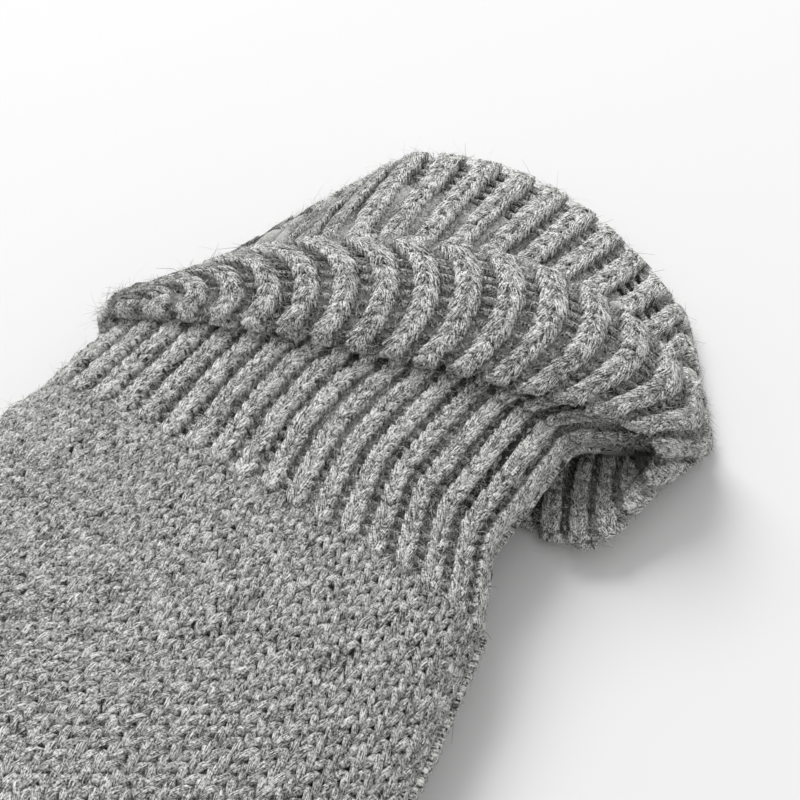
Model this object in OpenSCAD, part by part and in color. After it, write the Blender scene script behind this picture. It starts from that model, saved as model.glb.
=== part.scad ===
// A pair of knitted wool gloves lying palm up, side by side, with their rib cuffs turned back.
// Millimetres. +Y runs from the fingers to the cuffs, +Z is up and the gloves rest on Z = 0.
// The origin is on the resting face under the heel of the right glove's palm.

/* [Hand] */
// Width of the hand across the knuckles, lying flat
hand_w = 100; // [86:1:120]
// Length of the hand from the rib to the finger bases
hand_len = 98; // [84:1:118]
// Height of the hand as it lies
hand_thick = 16; // [13:0.5:20]
// Thickness of the knitted fabric
wall = 3; // [2.5:0.1:3.5]
// How far the thumb's gusset stands out from the side of the hand
gusset_out = 14; // [10:1:18]

/* [Wrist] */
// Width of the ribbed wrist, lying flat
wrist_w = 76; // [64:1:90]
// Length of rib from the hand to the middle of the cuff's free edge
wrist_len = 29; // [26:1:40]
// Height of the wrist where the cuff wraps it
wrist_thick = 16; // [13:0.5:20]
// How far the wrist is lifted by the cuff under it
wrist_lift = 4.2; // [4:0.1:5.5]

/* [Cuff] */
// How much wider the turned-back cuff is at its fold than the wrist
cuff_flare = 20; // [19:1:32]
// Depth of the turned-back cuff over the top of the wrist
cuff_depth = 18; // [15:1:24]
// How much further the mouth's far lip reaches than its near lip
mouth_gape = 44; // [32:1:52]
// Height of the near lip of the mouth
mouth_height = 29; // [27:0.5:35]
// Thickness of the rolled fold at the mouth
fold_thick = 6.5; // [5.5:0.1:7.5]
// How far the free edge slants forward from the thumb side to the other side
edge_slant = 29; // [15:1:32]
// How far the cuff stands away from the wrist on the little finger's side
side_gap = 10; // [4:1:14]

/* [Fingers] */
// Length of the index finger
index_len = 70; // [58:1:84]
// Length of the middle finger
middle_len = 79; // [64:1:94]
// Length of the ring finger
ring_len = 72; // [60:1:86]
// Length of the little finger
little_len = 57; // [46:1:68]
// Length of the thumb
thumb_len = 60; // [50:1:72]
// Width of the thumb, lying flat
thumb_w = 27; // [23:1:30]
// Height of the fingers as they lie
finger_thick = 13.5; // [12:0.5:16]
// Angle between the thumb and the hand
thumb_angle = 34; // [24:1:40]
// Width of the gathered closure at each fingertip
tip_w = 9; // [7:0.5:11]

/* [Pair] */
// Free space between the two thumbs
pair_gap = 14; // [8:1:60]

/* [Hidden] */
// Clearance between pieces that move against each other
play = 0.4;
// Clearance between a seam and the fabric that it lies on
hug = 0.08;
// How square the ovals are: 2 is an ellipse
squareness = 2.6;
// How much of the underside is pressed flat
flatten_under = 1.22;
// Facets round the hand, the cuff and a finger
body_sides = 24;
finger_sides = 16;

// The heel of the palm, under which the origin lies, measured from the end of the rib
heel = 20;
rib_y = heel;
knuckle_y = rib_y - hand_len;

// The wrist is set a little towards the thumb side of the hand
wrist_shift = -3;
wrist_lo = wrist_shift - wrist_w / 2;
wrist_hi = wrist_shift + wrist_w / 2;
wrist_top = wrist_lift + wrist_thick;
hand_lo = -hand_w / 2;
hand_hi = hand_w / 2;

// The thumb leaves the gusset on a slanting face, whose middle is at thumb_x, thumb_y
thumb_x = hand_lo - gusset_out / 2 - 2;
thumb_y = knuckle_y + hand_len * 0.36;
thumb_half = [thumb_w / 2 * cos(thumb_angle), -thumb_w / 2 * sin(thumb_angle)];
seam_thick = 1.6;

// The cuff's free edge and the lining under it
edge_y = rib_y + wrist_len;
edge_gap = 0.9;
// Under the little finger's side, the free edge runs back towards the hand
edge_drop = 17;
lining_end = edge_y + 13;
lining_lean = 8;
lining_slant = 7;
lining_inset = (fold_thick - 3.5) / 3;
cuff_w = wrist_w + cuff_flare;
cuff_lo = wrist_lo - edge_gap - wall - 0.6;
cuff_hi = wrist_hi + side_gap + wall;
near_lip_y = edge_y + cuff_depth;
// How far the mouth's lips slant and curve between the two sides
near_slant = 20;
// The near lip stays at least this far behind the free edge
least_depth = 2;
near_curve = 15;
far_slant = -7;
far_curve = 19;
// The mouth is set a little towards the little finger's side, where the cuff stands off
fold_middle = wrist_shift + side_gap / 3;
roll_r = 1.3;

// Fingers, from the thumb side: share of the knuckle width and length
finger_gap = 0.9;
finger_share = [0.255, 0.26, 0.255, 0.23];
finger_len = [index_len, middle_len, ring_len, little_len];
finger_lean = [-0.05, -0.015, 0.02, 0.07];
finger_room = hand_w - 3 * finger_gap;
function share_before(k) = k == 0 ? 0 : finger_share[k - 1] + share_before(k - 1);
function finger_w(k) = finger_room * finger_share[k];
function finger_x(k) =
    hand_lo + finger_room * share_before(k) + finger_gap * k + finger_w(k) / 2;
closure_thick = 3;

// The left glove is the right one mirrored, thumb to thumb
thumb_reach = -thumb_x + (thumb_len + closure_thick) * sin(thumb_angle) + thumb_w / 2;
pair_pitch = 2 * thumb_reach + pair_gap;

yarn = "#8d8e8d";
yarn_light = "#a3a4a2";
yarn_dark = "#767776";

// ---- Shapes shared by every piece ----

function side_of(v) = v < 0 ? -1 : 1;
function bow(v) = side_of(v) * pow(abs(v), 2 / squareness);
function blend(a, b, t) = a + (b - a) * t;
function ease(t) = t * t * (3 - 2 * t);

// The rounded-square direction of facet i of n, pressed flat underneath
function across(i, n) = bow(cos(360 * i / n));
function upward(i, n) = max(bow(sin(360 * i / n)) * (i > n / 2 ? flatten_under : 1), -1);

// One ring of points at y, from x_lo to x_hi and from z_lo to z_hi, drawn in by inset
function oval(y, x_lo, x_hi, z_lo, z_hi, inset, n) = [
    for (i = [0:n - 1]) [
        (x_lo + x_hi) / 2 + ((x_hi - x_lo) / 2 - inset) * across(i, n),
        y,
        (z_lo + z_hi) / 2 + ((z_hi - z_lo) / 2 - inset) * upward(i, n)
    ]
];

function joined(lists) = [for (each_list = lists) for (item = each_list) item];

// Triangles between ring k and ring k + 1 of n points, counted from point number start
function band(start, k, n, inward, window = []) = joined([
    for (i = [0:n - 1])
        let (
            a = start + k * n + i,
            b = start + k * n + (i + 1) % n,
            c = b + n,
            d = a + n
        )
        in_window(k, i, window) ? [] :
        inward ? [[a, b, c], [a, c, d]] : [[a, c, b], [a, d, c]]
]);

// Triangles that close the ring between an outer ring and an inner ring
function rim(outer, inner, n, turned) = joined([
    for (i = [0:n - 1])
        let (a = outer + i, b = outer + (i + 1) % n, c = inner + (i + 1) % n, d = inner + i)
        turned ? [[a, c, b], [a, d, c]] : [[a, b, c], [a, c, d]]
]);

// Whether facet i after ring k lies in the window [ring, first facet, last facet]
function in_window(k, i, window) =
    len(window) == 3 && k == window[0] && i >= window[1] && i <= window[2];

// The four edges of cloth round a window, between the outer and the inner points
function window_edges(window, n, inside) =
    len(window) != 3 ? [] :
    let (start = window[0] * n, first = window[1], last = window[2] + 1)
    joined([
        joined([
            for (i = [first:last - 1]) joined([
                strip(start + i, start + i + 1, inside, true),
                strip(start + n + i, start + n + i + 1, inside, false)
            ])
        ]),
        strip(start + first, start + first + n, inside, false),
        strip(start + last, start + last + n, inside, true)
    ]);
// Two triangles between the outer points a and b and the inner points inside further on
function strip(a, b, inside, turned) = turned ?
    [[a, b + inside, b], [a, a + inside, b + inside]] :
    [[a, b, b + inside], [a, b + inside, a + inside]];

// A fabric tube between two lists of rings that run towards +Y, with a window if one is given
module fabric_tube(outer, inner, window = []) {
    n = len(outer[0]);
    last = len(outer) - 1;
    inside = n * len(outer);
    polyhedron(
        points = concat(joined(outer), joined(inner)),
        faces = concat(
            joined([for (k = [0:last - 1]) band(0, k, n, false, window)]),
            joined([for (k = [0:last - 1]) band(inside, k, n, true, window)]),
            window_edges(window, n, inside),
            rim(0, inside, n, false),
            rim(last * n, inside + last * n, n, true)
        )
    );
}

// A closed solid through rings that run towards +Y
module solid_through(rings) {
    n = len(rings[0]);
    last = len(rings) - 1;
    polyhedron(
        points = joined(rings),
        faces = concat(
            joined([for (k = [0:last - 1]) band(0, k, n, false)]),
            [[for (i = [0:n - 1]) i]],
            [[for (i = [0:n - 1]) last * n + n - 1 - i]]
        )
    );
}

// A tube through stations [y, x_lo, x_hi, z_lo, z_hi]
function rings_at(stations, inset, n) = [
    for (s = stations) oval(s[0], s[1], s[2], s[3], s[4], inset, n)
];
module tube_at(stations, n) {
    fabric_tube(rings_at(stations, 0, n), rings_at(stations, wall, n));
}

// ---- Hand and wrist ----

gusset_y = thumb_y - thumb_half[1] + 1;
crotch_y = thumb_y + thumb_half[1] - 1;
gusset_x = thumb_x - thumb_half[0] + seam_thick;
crotch_x = thumb_x + thumb_half[0] + seam_thick;
hand_stations = [
    [knuckle_y, hand_lo, hand_hi, 0, finger_thick + 0.5],
    [blend(knuckle_y, crotch_y, 0.5), hand_lo + 0.5, hand_hi + 0.5, 0, hand_thick - 1],
    [crotch_y, crotch_x, hand_hi, 0, hand_thick],
    [gusset_y, gusset_x, hand_hi - 1, 0, hand_thick],
    [blend(gusset_y, rib_y, 0.5), blend(gusset_x, wrist_lo, 0.66), hand_hi - 4, 0, hand_thick + 1],
    [rib_y, wrist_lo - 2.5, wrist_hi + 6, 0, hand_thick + 2.5]
];
wrist_stations = [
    [rib_y, wrist_lo - 2.5, wrist_hi + 6, 0, hand_thick + 2.5],
    [rib_y + 8, wrist_lo - 1, wrist_hi + 2, wrist_lift * 0.8, wrist_top - 0.5],
    [edge_y - edge_slant / 2 - 1, wrist_lo, wrist_hi, wrist_lift, wrist_top],
    [edge_y, wrist_lo, wrist_hi, wrist_lift, wrist_top]
];

// The window in the gusset's side, where the thumb joins the hand
thumb_window = [2, body_sides / 2 - 2, body_sides / 2 + 1];

module glove_hand() {
    color(yarn)
        fabric_tube(
            rings_at(hand_stations, 0, body_sides),
            rings_at(hand_stations, wall, body_sides),
            thumb_window
        );
}

module glove_wrist_rib() {
    color(yarn_light) tube_at(wrist_stations, body_sides);
}

// The inner layer of the cuff, whose end slopes back over the top and towards the thumb side
module glove_cuff_lining() {
    function ring_at(y, lean, slant, inset) = [
        for (p = oval(y, wrist_lo, wrist_hi, wrist_lift, wrist_top, inset, body_sides))
            [
                p[0],
                p[1] - lean * (p[2] - wrist_lift) / wrist_thick + slant * (p[0] - wrist_shift) / wrist_w * 2,
                p[2]
            ]
    ];
    inner = wall + lining_inset - hug;
    color(yarn_dark)
        fabric_tube(
            [ring_at(edge_y, 0, 0, lining_inset), ring_at(lining_end, lining_lean, lining_slant, lining_inset)],
            [ring_at(edge_y, 0, 0, inner), ring_at(lining_end, lining_lean, lining_slant, inner)]
        );
}

// ---- Turned-back cuff ----

// The middle of the cloth at the free edge and at the fold, for facet i
function edge_height(s) = wall / 2 + (wrist_top + edge_gap) * (s + 1) / 2;
function edge_point(i) =
    let (c = across(i, body_sides), s = upward(i, body_sides))
    [
        (cuff_lo + cuff_hi) / 2 + (cuff_hi - cuff_lo) / 2 * c,
        edge_y + edge_slant / 2 * c - edge_drop * ease(min(max(-1.4 * s, 0), 1)) * max(c, 0),
        edge_height(s)
    ];
function fold_point(i) =
    let (
        c = across(i, body_sides),
        s = upward(i, body_sides),
        near = near_lip_y + near_slant * c - near_curve * c * c,
        far = near_lip_y + mouth_gape + far_slant * c - far_curve * c * c,
        height = blend(fold_thick / 2, mouth_height - fold_thick / 2, pow(max(s, 0), 1.2))
    )
    [
        fold_middle + cuff_w / 2 * c,
        max(blend(near, far, pow((1 - s) / 2, 3)), edge_point(i)[1] + least_depth),
        max(height, edge_height(s) * min(max(2 * s, 0), 1) * min(1 - c, 1))
    ];

// Outward direction at facet i, across the mouth
function outward(i) =
    let (c = across(i, body_sides), s = upward(i, body_sides), r = norm([c, s]))
    [c / r, 0, s / r];

// The cloth at share t of the way from the free edge to the fold, on one face of it
cuff_steps = 4;
cuff_puff = 2.5;
function cloth_ring(t, face) = [
    for (i = [0:body_sides - 1])
        let (
            half = blend(wall, fold_thick, ease(t)) / 2,
            under = upward(i, body_sides) < 0 ? 0 : 1,
            puff = cuff_puff * 4 * t * (1 - t) * under,
            p = blend(edge_point(i), fold_point(i), t) + outward(i) * (puff + face * half)
        )
        [p[0], p[1], max(p[2], face > 0 ? 0 : wall)]
];
// The fold closes round the end with a smaller ring a little further on
function lip_ring(face) = [
    for (i = [0:body_sides - 1])
        let (p = fold_point(i) + outward(i) * face * fold_thick / 4)
        [p[0], p[1] + fold_thick / 3, max(p[2], face > 0 ? 1 : wall)]
];

module glove_cuff_turnback() {
    color(yarn_light)
        fabric_tube(
            concat([for (k = [0:cuff_steps]) cloth_ring(k / cuff_steps, 1)], [lip_ring(1)]),
            concat([for (k = [0:cuff_steps]) cloth_ring(k / cuff_steps, -1)], [lip_ring(-1)])
        );
}

// The rolled edge where the knitting was cast on, ahead of the cuff's free edge
module glove_cast_on_edge() {
    function edge_ring(y, r) = [
        for (i = [0:body_sides - 1])
            let (p = edge_point(i) + outward(i) * r)
            [p[0], p[1] + y, max(p[2], r > 0 ? 0 : wall - hug)]
    ];
    length = 2 * roll_r;
    color(yarn)
        fabric_tube(
            [edge_ring(-length, roll_r / 2), edge_ring(-length / 2, roll_r), edge_ring(-hug, roll_r)],
            [edge_ring(-length, -roll_r / 2), edge_ring(-length / 2, -roll_r), edge_ring(-hug, -roll_r)]
        );
}

// ---- Seams ----

// Joins the edges of the knitting down the little finger's side of the hand
module glove_side_seam() {
    stations = [for (s = hand_stations) [s[0], s[2], s[4] / 2]];
    half = 1.1;
    height = 1.2;
    color(yarn_dark)
        solid_through([
            for (s = stations) [
                [s[1] + hug, s[0], s[2] - half],
                [s[1] + hug + height, s[0], s[2]],
                [s[1] + hug, s[0], s[2] + half]
            ]
        ]);
}

// Joins the thumb to the slanting face of the gusset
module glove_thumb_seam() {
    function ring_at(y, inset) =
        oval(y, -thumb_w / 2, thumb_w / 2, 0, finger_thick, inset, finger_sides);
    color(yarn_dark) at_thumb()
        fabric_tube(
            [ring_at(play, 0), ring_at(play + seam_thick, 0)],
            [ring_at(play, wall), ring_at(play + seam_thick, wall)]
        );
}

// ---- Fingers ----

module at_thumb() {
    translate([thumb_x, thumb_y, 0]) rotate([0, 0, -thumb_angle]) children();
}

// A finger from its tip to its base at y = 0, leaning sideways by lean for each millimetre
function finger_stations(w, length, lean) = [
    for (s = [[1, 0.5, 0.62], [0.955, 0.74, 0.84], [0.86, 0.9, 0.94], [0.5, 0.97, 0.97], [0, 1, 1]])
        let (
            x = lean * length * s[0],
            half = s[1] * w / 2,
            middle = finger_thick / 2,
            low = s[0] > 0.9 ? middle - s[2] * middle : 0
        )
        [-length * s[0], x - half, x + half, low, middle + s[2] * middle]
];
module finger(w, length, lean) {
    color(yarn) tube_at(finger_stations(w, length, lean), finger_sides);
}

// The drawn-together loops that close a fingertip
module closure(w, length, lean) {
    end = finger_stations(w, length, lean)[0];
    middle = [(end[1] + end[2]) / 2, (end[3] + end[4]) / 2];
    function ring_of(y, share) = oval(
        end[0] - y,
        middle[0] - share * (end[2] - end[1]) / 2, middle[0] + share * (end[2] - end[1]) / 2,
        middle[1] - share * (end[4] - end[3]) / 2, middle[1] + share * (end[4] - end[3]) / 2,
        0, finger_sides
    );
    color(yarn_dark)
        solid_through([ring_of(closure_thick, tip_w / w), ring_of(closure_thick / 2, 0.8), ring_of(hug, 0.97)]);
}

module at_finger(k) {
    translate([finger_x(k), knuckle_y - play, 0]) children();
}
module glove_finger(k) {
    at_finger(k) finger(finger_w(k), finger_len[k], finger_lean[k]);
}
module glove_closure(k) {
    at_finger(k) closure(finger_w(k), finger_len[k], finger_lean[k]);
}
module glove_thumb() {
    at_thumb() finger(thumb_w, thumb_len, 0);
}
module glove_thumb_closure() {
    at_thumb() closure(thumb_w, thumb_len, 0);
}

// ---- The pair ----

module mirrored_left() {
    translate([-pair_pitch, 0, 0]) mirror([1, 0, 0]) children();
}

glove_hand();  // right_hand
glove_wrist_rib();  // right_wrist_rib
glove_cuff_lining();  // right_cuff_lining
glove_cuff_turnback();  // right_cuff_turnback
glove_cast_on_edge();  // right_cast_on_edge
glove_side_seam();  // right_side_seam
glove_thumb_seam();  // right_thumb_seam
glove_thumb();  // right_thumb
glove_finger(0);  // right_index_finger
glove_finger(1);  // right_middle_finger
glove_finger(2);  // right_ring_finger
glove_finger(3);  // right_little_finger
glove_thumb_closure();  // right_thumb_tip_closure
glove_closure(0);  // right_index_tip_closure
glove_closure(1);  // right_middle_tip_closure
glove_closure(2);  // right_ring_tip_closure
glove_closure(3);  // right_little_tip_closure
mirrored_left() glove_hand();  // left_hand
mirrored_left() glove_wrist_rib();  // left_wrist_rib
mirrored_left() glove_cuff_lining();  // left_cuff_lining
mirrored_left() glove_cuff_turnback();  // left_cuff_turnback
mirrored_left() glove_cast_on_edge();  // left_cast_on_edge
mirrored_left() glove_side_seam();  // left_side_seam
mirrored_left() glove_thumb_seam();  // left_thumb_seam
mirrored_left() glove_thumb();  // left_thumb
mirrored_left() glove_finger(0);  // left_index_finger
mirrored_left() glove_finger(1);  // left_middle_finger
mirrored_left() glove_finger(2);  // left_ring_finger
mirrored_left() glove_finger(3);  // left_little_finger
mirrored_left() glove_thumb_closure();  // left_thumb_tip_closure
mirrored_left() glove_closure(0);  // left_index_tip_closure
mirrored_left() glove_closure(1);  // left_middle_tip_closure
mirrored_left() glove_closure(2);  // left_ring_tip_closure
mirrored_left() glove_closure(3);  // left_little_tip_closure
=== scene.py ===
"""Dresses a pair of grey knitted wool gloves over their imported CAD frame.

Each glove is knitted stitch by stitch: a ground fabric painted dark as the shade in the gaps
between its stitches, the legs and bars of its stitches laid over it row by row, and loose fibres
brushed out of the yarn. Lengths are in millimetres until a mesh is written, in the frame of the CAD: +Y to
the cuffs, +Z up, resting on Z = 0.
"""

import logging
import math
from dataclasses import dataclass, replace
from enum import Enum
from typing import Callable

import bpy
import numpy as np
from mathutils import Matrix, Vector


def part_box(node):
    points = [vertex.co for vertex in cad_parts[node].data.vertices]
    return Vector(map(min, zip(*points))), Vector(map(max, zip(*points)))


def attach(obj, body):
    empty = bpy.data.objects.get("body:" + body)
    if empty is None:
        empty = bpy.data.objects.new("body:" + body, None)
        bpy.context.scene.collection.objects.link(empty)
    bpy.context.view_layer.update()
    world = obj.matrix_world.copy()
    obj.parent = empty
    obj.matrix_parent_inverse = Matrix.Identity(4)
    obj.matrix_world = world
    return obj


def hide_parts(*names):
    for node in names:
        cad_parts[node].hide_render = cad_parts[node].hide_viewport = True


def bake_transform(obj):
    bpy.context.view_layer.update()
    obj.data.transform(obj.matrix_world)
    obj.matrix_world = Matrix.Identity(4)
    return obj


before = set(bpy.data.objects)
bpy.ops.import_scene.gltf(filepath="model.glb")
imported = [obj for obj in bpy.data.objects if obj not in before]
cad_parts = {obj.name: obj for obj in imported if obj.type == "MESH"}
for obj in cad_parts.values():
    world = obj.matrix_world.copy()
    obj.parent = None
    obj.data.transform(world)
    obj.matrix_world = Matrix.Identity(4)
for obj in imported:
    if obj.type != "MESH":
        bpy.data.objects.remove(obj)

LOG = logging.getLogger("gloves")
MM = 0.001

# Every tube runs round a rounded square, which is flatter underneath
SQUARENESS = 2.6
FLATTEN_UNDER = 1.22
RING_SAMPLES = 480

# Nothing comes nearer to the floor than this
FLOOR_GAP = 0.05

# The least share over which anything fades, and the least length that is divided by
SHORTEST_FADE = 1e-6
SHORTEST_LENGTH = 1e-9

Number = np.ndarray | float
Relief = Callable[[np.ndarray, np.ndarray], np.ndarray]
Point = tuple[float, float, float]
Bend = tuple[str, Point, Point]


class Side(Enum):
    """Which hand a glove is for."""

    RIGHT = "right"
    LEFT = "left"


class Knit(Enum):
    """How a piece of fabric is knitted."""

    PLAIN = "knit_plain"
    RIB = "knit_rib"
    SEAM = "knit_seam"


# ---- Finishes ----


def new_material(name: str, roughness: float, specular: float) -> tuple[bpy.types.Material, bpy.types.Node]:
    """Starts a material.

    Args:
        name: Its name.
        roughness: Its roughness.
        specular: Its specular level.

    Returns:
        The material and its shader.
    """
    material = bpy.data.materials.new(name)
    material.use_nodes = True
    shader = material.node_tree.nodes["Principled BSDF"]
    shader.inputs["Roughness"].default_value = roughness
    shader.inputs["Specular IOR Level"].default_value = specular
    return material, shader


@dataclass(frozen=True)
class WoolFinish:
    """Mottled wool: dark and light fibres spun into one grey yarn."""

    name: str
    dark: float
    middle: float
    light: float
    dark_at: float = 0.32
    middle_at: float = 0.49
    light_at: float = 0.67
    warmth: float = 0.965
    streaks_across: float = 13.0
    streaks_along: float = 3.2
    streak_weight: float = 1.15
    fleck_size: float = 0.32
    fleck_weight: float = 0.95
    patch_size: float = 2.6
    patch_weight: float = 0.35
    bump_depth: float = 0.22
    bump_strength: float = 0.9
    roughness: float = 0.92
    specular: float = 0.15
    sheen: float = 0.25
    sheen_roughness: float = 0.45

    def build(self) -> bpy.types.Material:
        """Makes the material.

        Returns:
            The material, which reads the yarn map and object coordinates.
        """
        material, shader = new_material(self.name, self.roughness, self.specular)
        tree = material.node_tree
        shader.inputs["Sheen Weight"].default_value = self.sheen
        shader.inputs["Sheen Roughness"].default_value = self.sheen_roughness
        streaks = self._streaks(tree)
        flecks = self._noise(tree, self.fleck_size, 3.0)
        patches = self._noise(tree, self.patch_size, 2.0)
        weights = (self.streak_weight, self.fleck_weight, self.patch_weight)
        mixed = self._mixed(tree, (streaks, flecks, patches), weights)
        ramp = tree.nodes.new("ShaderNodeValToRGB")
        stops = ((self.dark_at, self.dark), (self.middle_at, self.middle), (self.light_at, self.light))
        while len(ramp.color_ramp.elements) < len(stops):
            ramp.color_ramp.elements.new(0.5)
        for element, (place, grey) in zip(ramp.color_ramp.elements, stops):
            element.position = place
            element.color = (grey, grey, grey * self.warmth, 1.0)
        tree.links.new(mixed, ramp.inputs["Fac"])
        tree.links.new(ramp.outputs["Color"], shader.inputs["Base Color"])
        bump = tree.nodes.new("ShaderNodeBump")
        bump.inputs["Strength"].default_value = self.bump_strength
        bump.inputs["Distance"].default_value = self.bump_depth * MM
        tree.links.new(mixed, bump.inputs["Height"])
        tree.links.new(bump.outputs["Normal"], shader.inputs["Normal"])
        return material

    def _streaks(self, tree: bpy.types.NodeTree) -> bpy.types.NodeSocket:
        """Noise drawn out along the yarn.

        Args:
            tree: The material's node tree.

        Returns:
            The noise's value.
        """
        yarn = tree.nodes.new("ShaderNodeUVMap")
        yarn.uv_map = "yarn"
        stretch = tree.nodes.new("ShaderNodeMapping")
        stretch.inputs["Scale"].default_value = (self.streaks_across, self.streaks_along, 1.0)
        noise = tree.nodes.new("ShaderNodeTexNoise")
        noise.noise_dimensions = "2D"
        noise.inputs["Scale"].default_value = 1.0
        noise.inputs["Detail"].default_value = 3.0
        noise.inputs["Distortion"].default_value = 0.4
        tree.links.new(yarn.outputs["UV"], stretch.inputs["Vector"])
        tree.links.new(stretch.outputs["Vector"], noise.inputs["Vector"])
        return noise.outputs["Fac"]

    def _noise(self, tree: bpy.types.NodeTree, size: float, detail: float) -> bpy.types.NodeSocket:
        """Noise in space.

        Args:
            tree: The material's node tree.
            size: Size of its patches, in millimetres.
            detail: Its detail.

        Returns:
            The noise's value.
        """
        places = tree.nodes.new("ShaderNodeTexCoord")
        noise = tree.nodes.new("ShaderNodeTexNoise")
        noise.inputs["Scale"].default_value = 1.0 / (size * MM)
        noise.inputs["Detail"].default_value = detail
        tree.links.new(places.outputs["Object"], noise.inputs["Vector"])
        return noise.outputs["Fac"]

    def _mixed(
        self,
        tree: bpy.types.NodeTree,
        values: tuple[bpy.types.NodeSocket, ...],
        weights: tuple[float, ...],
    ) -> bpy.types.NodeSocket:
        """Adds weighted noises so that the sum's middle stays at one half.

        Args:
            tree: The material's node tree.
            values: The noises.
            weights: The weight of each.

        Returns:
            The sum.
        """
        total = None
        for value, weight in zip(values, weights):
            step = tree.nodes.new("ShaderNodeMath")
            step.operation = "MULTIPLY_ADD"
            step.inputs[1].default_value = weight
            tree.links.new(value, step.inputs[0])
            if total is None:
                step.inputs[2].default_value = 0.5 - sum(weights) / 2
            else:
                tree.links.new(total, step.inputs[2])
            total = step.outputs["Value"]
        return total


@dataclass(frozen=True)
class FibreFinish:
    """Single brushed-out fibres, each of one grey from dark to light."""

    name: str
    dark: float
    light: float
    warmth: float = 0.97
    roughness: float = 0.75
    specular: float = 0.3

    def build(self) -> bpy.types.Material:
        """Makes the material.

        Returns:
            The material, which reads each fibre's tone attribute.
        """
        material, shader = new_material(self.name, self.roughness, self.specular)
        tree = material.node_tree
        tone = tree.nodes.new("ShaderNodeAttribute")
        tone.attribute_name = "tone"
        ramp = tree.nodes.new("ShaderNodeValToRGB")
        first, last = ramp.color_ramp.elements
        first.color = (self.dark, self.dark, self.dark, 1.0)
        last.color = (self.light, self.light, self.light * self.warmth, 1.0)
        tree.links.new(tone.outputs["Fac"], ramp.inputs["Fac"])
        tree.links.new(ramp.outputs["Color"], shader.inputs["Base Color"])
        return material


# ---- Shapes ----


def bow(value: np.ndarray) -> np.ndarray:
    """Bends a cosine or sine towards a rounded square."""
    return np.sign(value) * np.abs(value) ** (2 / SQUARENESS)


def blend(first: Number, last: Number, share: Number) -> Number:
    """The value at share of the way from first to last."""
    return first + (last - first) * share


def ease(share: Number) -> Number:
    """A share that starts and ends slowly."""
    return share * share * (3 - 2 * share)


def directions() -> tuple[np.ndarray, np.ndarray]:
    """The rounded square round which every ring runs.

    Returns:
        How far each sample is across and upward, from -1 to 1.
    """
    turn = np.arange(RING_SAMPLES) * (2 * math.pi / RING_SAMPLES)
    across, upward = bow(np.cos(turn)), bow(np.sin(turn))
    return across, np.where(upward < 0, np.maximum(upward * FLATTEN_UNDER, -1), upward)


def oval(y: float, x_lo: float, x_hi: float, z_lo: float, z_hi: float) -> np.ndarray:
    """One ring of points.

    Args:
        y: Where the ring is along the glove.
        x_lo: Its lowest x.
        x_hi: Its highest x.
        z_lo: Its lowest z.
        z_hi: Its highest z.

    Returns:
        The points, one row each.
    """
    across, upward = directions()
    x = (x_lo + x_hi) / 2 + (x_hi - x_lo) / 2 * across
    z = (z_lo + z_hi) / 2 + (z_hi - z_lo) / 2 * upward
    return np.stack([x, np.full_like(x, y), z], axis=1)


def smooth_curve(at: np.ndarray, knots: np.ndarray, values: np.ndarray) -> np.ndarray:
    """A curve through values at knots that doesn't overshoot them.

    Args:
        at: Where the curve is wanted.
        knots: Where it is known, rising.
        values: What it is there.

    Returns:
        The curve's values.
    """
    width = np.diff(knots)
    slope = np.diff(values) / width
    tangent = np.empty_like(values)
    tangent[0], tangent[-1] = slope[0], slope[-1]
    same_way = slope[:-1] * slope[1:] > 0
    mean = 2 * slope[:-1] * slope[1:] / np.where(same_way, slope[:-1] + slope[1:], 1)
    tangent[1:-1] = np.where(same_way, mean, 0)
    k = np.clip(np.searchsorted(knots, at, side="right") - 1, 0, len(width) - 1)
    t = (at - knots[k]) / width[k]
    return (
        values[k] * (1 + 2 * t) * (1 - t) ** 2
        + tangent[k] * width[k] * t * (1 - t) ** 2
        + values[k + 1] * t * t * (3 - 2 * t)
        + tangent[k + 1] * width[k] * t * t * (t - 1)
    )


def tube_rings(stations: list[tuple[float, ...]], spacing: float) -> np.ndarray:
    """Rings along a tube.

    Args:
        stations: Each known ring, as y, lowest and highest x, lowest and highest z.
        spacing: The distance between rings.

    Returns:
        The rings, as rings by samples by 3.
    """
    table = np.array(stations, float)
    count = max(4, round((table[-1, 0] - table[0, 0]) / spacing))
    ys = np.linspace(table[0, 0], table[-1, 0], count)
    sizes = [smooth_curve(ys, table[:, 0], table[:, k]) for k in range(1, 5)]
    return np.stack([oval(y, *size) for y, *size in zip(ys, *sizes)])


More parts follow.
